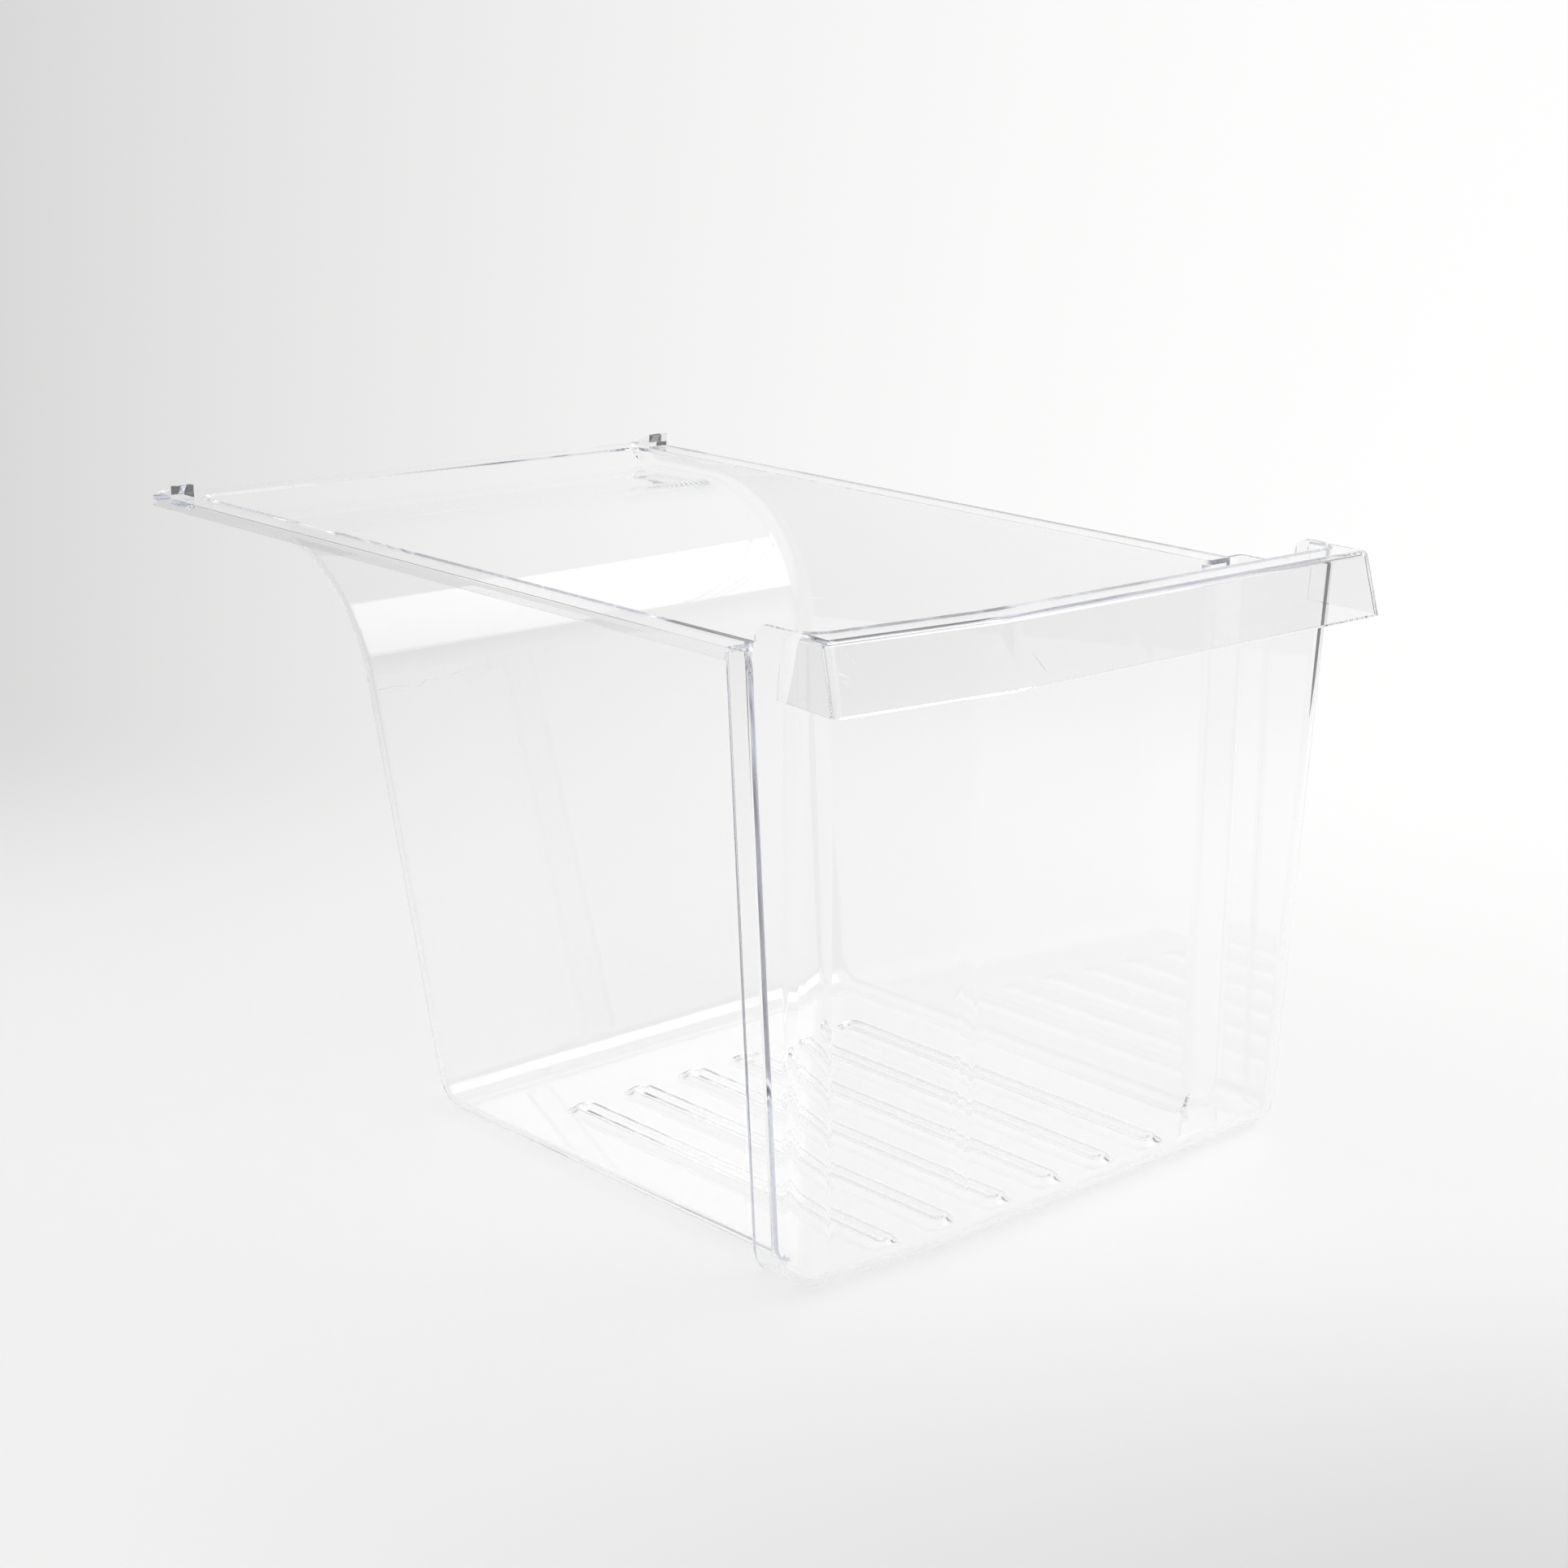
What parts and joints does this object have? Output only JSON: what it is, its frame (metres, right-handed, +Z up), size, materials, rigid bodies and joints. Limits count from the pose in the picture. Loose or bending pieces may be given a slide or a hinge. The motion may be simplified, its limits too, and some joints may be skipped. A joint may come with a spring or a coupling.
{
  "type": "fridge crisper drawer",
  "caption": "Clear plastic fridge crisper drawer with a hooded handle, a bent front, side rails, a curved overhanging back and a ribbed floor.",
  "frame": {"origin": "on the underside of the floor, midway between the rails and midway along the drawer's overall length", "axes": "+Y from the handle to the back, +X to the right seen from the front, +Z up"},
  "size_m": [0.3277, 0.475, 0.27],
  "materials": {
    "clear_plastic": "clear, polished, lightly scratched from use"
  },
  "bodies": {
    "root": {"crisper_drawer": "clear_plastic"}
  },
  "joints": []
}
